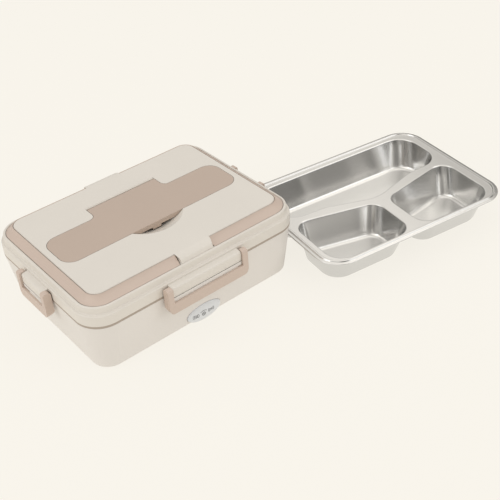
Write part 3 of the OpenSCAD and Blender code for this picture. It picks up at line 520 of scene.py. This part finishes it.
def mouth_outline(ring, inset, slide):
    """Outline through a ring of corner circles, moved inwards: arcs of radius r - inset joined by
    their common tangents. A negative radius is a corner that turns the other way. The circles
    have gone the given part of their slide, and have grown so that the corners keep their
    radius."""
    ring = rounder([(x + slide * dx, y + slide * dy, r) for x, y, r, dx, dy in ring],
                   TRAY_DRAFT * slide)
    pieces = []
    for before, here, after in zip([ring[-1]] + ring[:-1], ring, ring[1:] + [ring[0]]):
        start = facing(before, here)
        turn = facing(here, after) - start
        turn -= 360 * (math.floor(turn / 360) if here[2] > 0 else math.ceil(turn / 360))
        pieces.append(outline_arc(here, here[2] - inset, start, start + turn, MOUTH_ARC))
    outline = []
    for arc, following in zip(pieces, pieces[1:] + [pieces[0]]):
        t = np.linspace(0, 1, MOUTH_SIDE + 1)[1:-1, None]
        outline += [arc, arc[-1] + t * (following[0] - arc[-1])]
    return np.concatenate(outline)


def bowl_profile(skin):
    """Inset and height of a drawn compartment's wall from the floor to the deck, grown by skin."""
    low = STEEL - skin
    deck = TRAY_DECK - skin
    floor, foot, mouth, lip = 22, 9.5, 0.66, -0.4
    floor_bend, lip_bend = 6.0 + skin, 1.3 - 0.6 * skin
    corners = [(floor - skin, low), (foot - skin, low), (mouth - skin, deck),
               (lip - 0.7 * skin, deck)]
    return rounded_path(corners, [floor_bend, lip_bend], 7)


def tray_place(points):
    """Turns and moves tray points on the table."""
    c, s = math.cos(TRAY_TURN), math.sin(TRAY_TURN)
    x, y = points[:, 0], points[:, 1]
    return np.stack([TRAY_PLACE[0] + c * x - s * y, TRAY_PLACE[1] + s * x + c * y,
                     points[:, 2]], -1)


def swept_outline(core, offset):
    """Outline at an offset from a rectangle of corner centres: four quarter circles joined by
    straight sides."""
    corners = [(core[0], core[1], 0), (-core[0], core[1], 90), (-core[0], -core[1], 180),
               (core[0], -core[1], 270)]
    return np.concatenate([outline_arc((x, y), offset, a, a + 90, SWEEP_ARC)
                           for x, y, a in corners])


def stack(outlines, heights):
    """Points of several outlines of equal length, each at its own height."""
    return np.concatenate([np.column_stack([o, np.full(len(o), z)])
                           for o, z in zip(outlines, heights)])


def flat_with_holes(outer, holes, height):
    """Flat sheet between an outer loop and hole loops, cut into triangles by a constrained
    Delaunay division; triangles whose middle lies in a hole are dropped."""
    loops = [outer] + holes
    points = np.concatenate(loops)
    edges, first = [], 0
    for loop in loops:
        index = first + np.arange(len(loop))
        edges += np.stack([index, np.roll(index, -1)], -1).tolist()
        first += len(loop)
    out = delaunay_2d_cdt([Vector(p) for p in points], edges, [], 0, 1e-6)
    flat = np.array([tuple(p) for p in out[0]])
    triangles = np.array(out[2])
    middle = flat[triangles].mean(1)
    keep = in_loop(outer, middle)
    for hole in holes:
        keep &= ~in_loop(hole, middle)
    return np.column_stack([flat, np.full(len(flat), height)]), triangles[keep]


def in_loop(loop, points):
    """Even-odd test of many points against one loop."""
    x, y = points[:, :1], points[:, 1:2]
    x1, y1 = loop[None, :, 0], loop[None, :, 1]
    x2, y2 = np.roll(x1, -1, 1), np.roll(y1, -1, 1)
    crosses = ((y1 > y) != (y2 > y)) & (x < (x2 - x1) * (y - y1) / (y2 - y1 + 1e-12) + x1)
    return crosses.sum(1) % 2 == 1


def join(parts):
    """Joins pairs of point and face arrays into one pair of points and triangles."""
    points, faces, first = [], [], 0
    for p, f in parts:
        f = np.asarray(f)
        if f.shape[1] == 4:
            f = np.concatenate([f[:, [0, 1, 2]], f[:, [0, 2, 3]]])
        points.append(p)
        faces.append(f + first)
        first += len(p)
    return np.concatenate(points), np.concatenate(faces)


def tray_rim_profile():
    """Closed section of the rim: foot of the raised bead, bead, groove and thin turned-down
    outer edge, as an offset from the corner centres and a height."""
    z = TRAY_DECK
    r = TRAY_R
    top = rounded_path([(r - 6.8, z), (r - 6.0, z), (r - 5.4, TRAY_H), (r - 3.7, TRAY_H),
                        (r - 2.9, z - 0.25), (r, z - 0.35), (r, z - 1.8)],
                       [0.35, 0.5, 0.6, 0.7, 0.55], 5)
    under = rounded_path([(r, z - 1.8), (r - 0.7, z - 1.8), (r - 0.7, z - 1.1),
                          (r - 3.6, z - 1.0), (r - 4.2, TRAY_H - STEEL),
                          (r - 5.3, TRAY_H - STEEL), (r - 5.7, z - STEEL),
                          (r - 6.2, z - STEEL)], [0.3, 0.15, 0.5, 0.3, 0.3, 0.15], 3)
    return np.concatenate([top, under[1:]])


def build_tray():
    """Drawn compartments, the deck between them and the rim, welded into one steel sheet."""
    parts = []
    lips = {}
    for skin in (0.0, STEEL):
        profile = bowl_profile(skin)
        lips[skin] = []
        for ring in (mouth_ring(BACK_MOUTH), mouth_ring(SIDE_MOUTH), mouth_ring(SIDE_MOUTH, -1)):
            heights = profile[1:, 1]
            slides = np.interp(heights, [FLOOR_BEND - skin, TRAY_DECK - LIP_BEND, TRAY_DECK],
                               [1, 0.15, 0])
            outlines = [mouth_outline(ring, inset, slide)
                        for inset, slide in zip(profile[1:, 0], slides)]
            lips[skin].append(outlines[-1])
            wall = stack(outlines, heights)
            parts.append((wall, grid_quads(len(heights), len(outlines[0]), True)))
            parts.append(flat_with_holes(outlines[0], [], heights[0]))
    rim = tray_rim_profile()
    rings = [swept_outline(TRAY_CORE, r) for r in rim[:, 0]]
    parts.append((stack(rings, rim[:, 1]), grid_quads(len(rim), len(rings[0]), True)))
    parts.append(flat_with_holes(rings[0], lips[0.0], TRAY_DECK))
    parts.append(flat_with_holes(rings[-1], lips[STEEL], TRAY_DECK - STEEL))
    points, faces = join(parts)
    add_piece("tray_pressed_steel", tray_place(points), faces, "food_tray",
              finishes["tray_steel"], ["food_tray"], 50.0)


# ---------------------------------------------------------------- gasket and boss lips

# Half sides of the rectangle of the box's corner centres, the joint line's heights, and the
# lengths of the latch bosses' faces
CORE = (98.5, 66.25)
SEAM_LOW, SEAM_HIGH = 58.3, 60.7
SHORT_BOSS, LONG_BOSS = 38.8, 81.8


def build_gasket():
    """Lid gasket with a taupe lip that fills the joint line; the lip is part gasket and part
    painted shade of the gap there: a closed profile of offset and height, swept round the
    rectangle of the box's corner centres."""
    inner, outer = 21.0, 24.08
    low, high = 57.3, 62.2
    chamfer_in, chamfer_up = 0.8, 1.2
    # the lip reaches out into the joint line, its taupe standing in for the gasket's colour and
    # for the shade in that gap
    lip = 26.95
    lip_low, lip_high = SEAM_LOW + 0.12, SEAM_HIGH - 0.1
    profile = rounded_path([(inner + chamfer_in, low), (outer - chamfer_in, low),
                            (outer, low + chamfer_up), (outer, lip_low), (lip - 0.6, lip_low),
                            (lip, SEAM_LOW - 0.3), (lip, lip_high), (outer, lip_high),
                            (outer, high), (inner, high), (inner, low + chamfer_up),
                            (inner + chamfer_in, low)],
                           [0.3, 0.2, 0.1, 0.2, 0.15, 0.4, 0.1, 0.15, 0.15, 0.3], 3)[:-1]
    loop = np.concatenate([profile, profile[:1]])
    rings = [swept_outline(CORE, offset) for offset in loop[:, 0]]
    add_piece("gasket_with_seam_shade_lip", stack(rings, loop[:, 1]),
              grid_quads(len(loop), len(rings[0]), True), "lid",
              finishes["gasket_rubber"], ["lid_gasket"], 40.0)


def build_boss_lips():
    """Lips that carry the four latch bosses down over the joint line, nearly to the catches:
    rounded sections of offset and height, drawn out along each side."""
    inner, outer = 27.35, 34.16
    low, high = 58.85, 60.75
    section = rounded_path([(inner, high), (inner, low), (outer, low), (outer, high),
                            (inner, high)], [0.15, 0.45, 0.1], 4)[:-1]
    n = len(section)
    fan = np.stack([np.full(n, n), np.arange(n), (np.arange(n) + 1) % n], -1)
    parts = []
    for side, length in enumerate((SHORT_BOSS, LONG_BOSS, SHORT_BOSS, LONG_BOSS)):
        angle = math.radians(90 * side)
        c, s = math.cos(angle), math.sin(angle)
        reach = CORE[side % 2]
        ends = []
        for end in (-length / 2, length / 2):
            x, y = section[:, 0] + reach, np.full(n, end)
            ends.append(np.stack([c * x - s * y, s * x + c * y, section[:, 1]], -1))
        parts.append((np.concatenate(ends), grid_quads(2, n, True)))
        parts += [(np.concatenate([end, end.mean(0)[None]]), fan) for end in ends]
    points, faces = join(parts)
    add_piece("boss_lower_lips", points, faces, "lid", finishes["cream_lid"])


# ---------------------------------------------------------------- marks on the panel

# Rise of the panel's dome, and how far marks stand out of it and reach into it
PANEL_BULGE = 2.8
MARK_RAISE, MARK_SINK = 0.07, 0.2


def panel_face(x, z, out):
    """Point on the panel's dome, pushed out by a distance: y falls by the bulge times
    sqrt(1 - q) with q the squared share of the ellipse's half axes."""
    low, high = (np.array(c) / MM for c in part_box("indicator_panel"))
    half_x, half_z = (high[0] - low[0]) / 2, (high[2] - low[2]) / 2
    q = (x / half_x) ** 2 + ((z - (high[2] + low[2]) / 2) / half_z) ** 2
    y = low[1] + PANEL_BULGE * (1 - np.sqrt(np.clip(1 - q, 0, 1)))
    return np.stack([x, y - out, z], -1)


def stroke(path, width, closed):
    """Raised line along a path on the panel: two rails on the face and two sunk under it."""
    path = np.asarray(path, float)
    if closed:
        along = np.roll(path, -1, 0) - np.roll(path, 1, 0)
    else:
        along = np.gradient(path, axis=0)
    along /= np.linalg.norm(along, axis=1)[:, None]
    side = np.stack([-along[:, 1], along[:, 0]], -1) * width / 2
    rails = [((path + side).T, MARK_RAISE), ((path - side).T, MARK_RAISE),
             ((path - side).T, -MARK_SINK), ((path + side).T, -MARK_SINK)]
    points = np.stack([panel_face(*rail, out) for rail, out in rails], 1)
    if closed:
        points = np.concatenate([points, points[:1]])
        return points.reshape(-1, 3), grid_quads(len(points), 4, True)
    faces = grid_quads(len(points), 4, True)
    last = 4 * (len(points) - 1)
    caps = np.array([[3, 2, 1, 0], [last, last + 1, last + 2, last + 3]])
    return points.reshape(-1, 3), np.concatenate([faces, caps])


def build_panel_marks():
    """Three plain lamp marks: bars in a frame, a ring under an arc, and two rings in a frame."""
    middle_z = sum(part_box("indicator_panel")[i][2] for i in (0, 1)) / 2 / MM

    def line(points, width, closed=False):
        return stroke(np.asarray(points, float) + (0, middle_z), width, closed)

    def bar(x, height, width):
        return line(np.stack([np.full(5, x), np.linspace(-height / 2, height / 2, 5)], -1), width)

    def ring(x, z, radius, width):
        return line(outline_arc((x, z), radius, 0, 345, 23), width, True)

    def bracket(x, sign):
        arc = outline_arc((x, 0), 2.9, 128, 232, 10)
        return line([(x + sign * (a - x), b) for a, b in arc], 0.5)

    left, middle, right = -11.6, -2.4, 6.8
    parts = [bracket(left - 0.6, 1), bracket(left + 0.6, -1)]
    parts += [bar(left + step, 3.8, 0.9) for step in (-1.6, 0.0, 1.6)]
    parts += [ring(middle, -0.8, 1.9, 0.8), ring(middle, -0.8, 0.55, 0.7),
              line(outline_arc((middle, -3.3), 6.4, 55, 125, 14), 0.6)]
    parts += [bracket(right - 0.6, 1), bracket(right + 0.6, -1),
              ring(right - 1.35, 0, 1.15, 0.65), ring(right + 1.35, 0, 1.15, 0.65)]
    points, faces = join(parts)
    ink = moulded_plastic("mark_ink", linear(128, 127, 128), 0.5)
    add_piece("panel_marks", points, faces, "base", ink, (), 30.0)


# ---------------------------------------------------------------- handles' pin bores

# The pins' place along X; the middle of a bore's end on the sloping face as |y| and z; the
# face's outward direction in |y| and z; and the skin's half length, width and thickness
PIN_X = 25.5
SKIN_MIDDLE = np.array([81.15, 83.83])
FACE_OUT = np.array([0.78, 0.626])
SKIN_HALF = (1.5, 0.62, 0.03)


def build_bore_skins():
    """Thin skins that close each handle's outer face over the ends of its two pin bores."""
    faces = np.array([(0, 1, 2, 3), (4, 7, 6, 5), (0, 4, 5, 1), (1, 5, 6, 2), (2, 6, 7, 3),
                      (3, 7, 4, 0)])
    face_down = np.array([FACE_OUT[1], -FACE_OUT[0]])
    for body, pin_x in (("left_handle", -PIN_X), ("right_handle", PIN_X)):
        parts = []
        for side in (-1, 1):
            points = []
            for lift in (-SKIN_HALF[2], SKIN_HALF[2]):
                for along, down in ((-1, -1), (1, -1), (1, 1), (-1, 1)):
                    out, up = SKIN_MIDDLE + down * SKIN_HALF[1] * face_down + lift * FACE_OUT
                    points.append((pin_x + along * SKIN_HALF[0], side * out, up))
            parts.append((np.array(points), faces))
        points, quads = join(parts)
        add_piece(body + "_bore_skins", points, quads, body,
                  finishes["tan_plastic"], (), 30.0)


build_tray()
build_gasket()
build_boss_lips()
build_panel_marks()
build_bore_skins()
place_camera()
studio()
bpy.context.scene.view_settings.view_transform = "Standard"
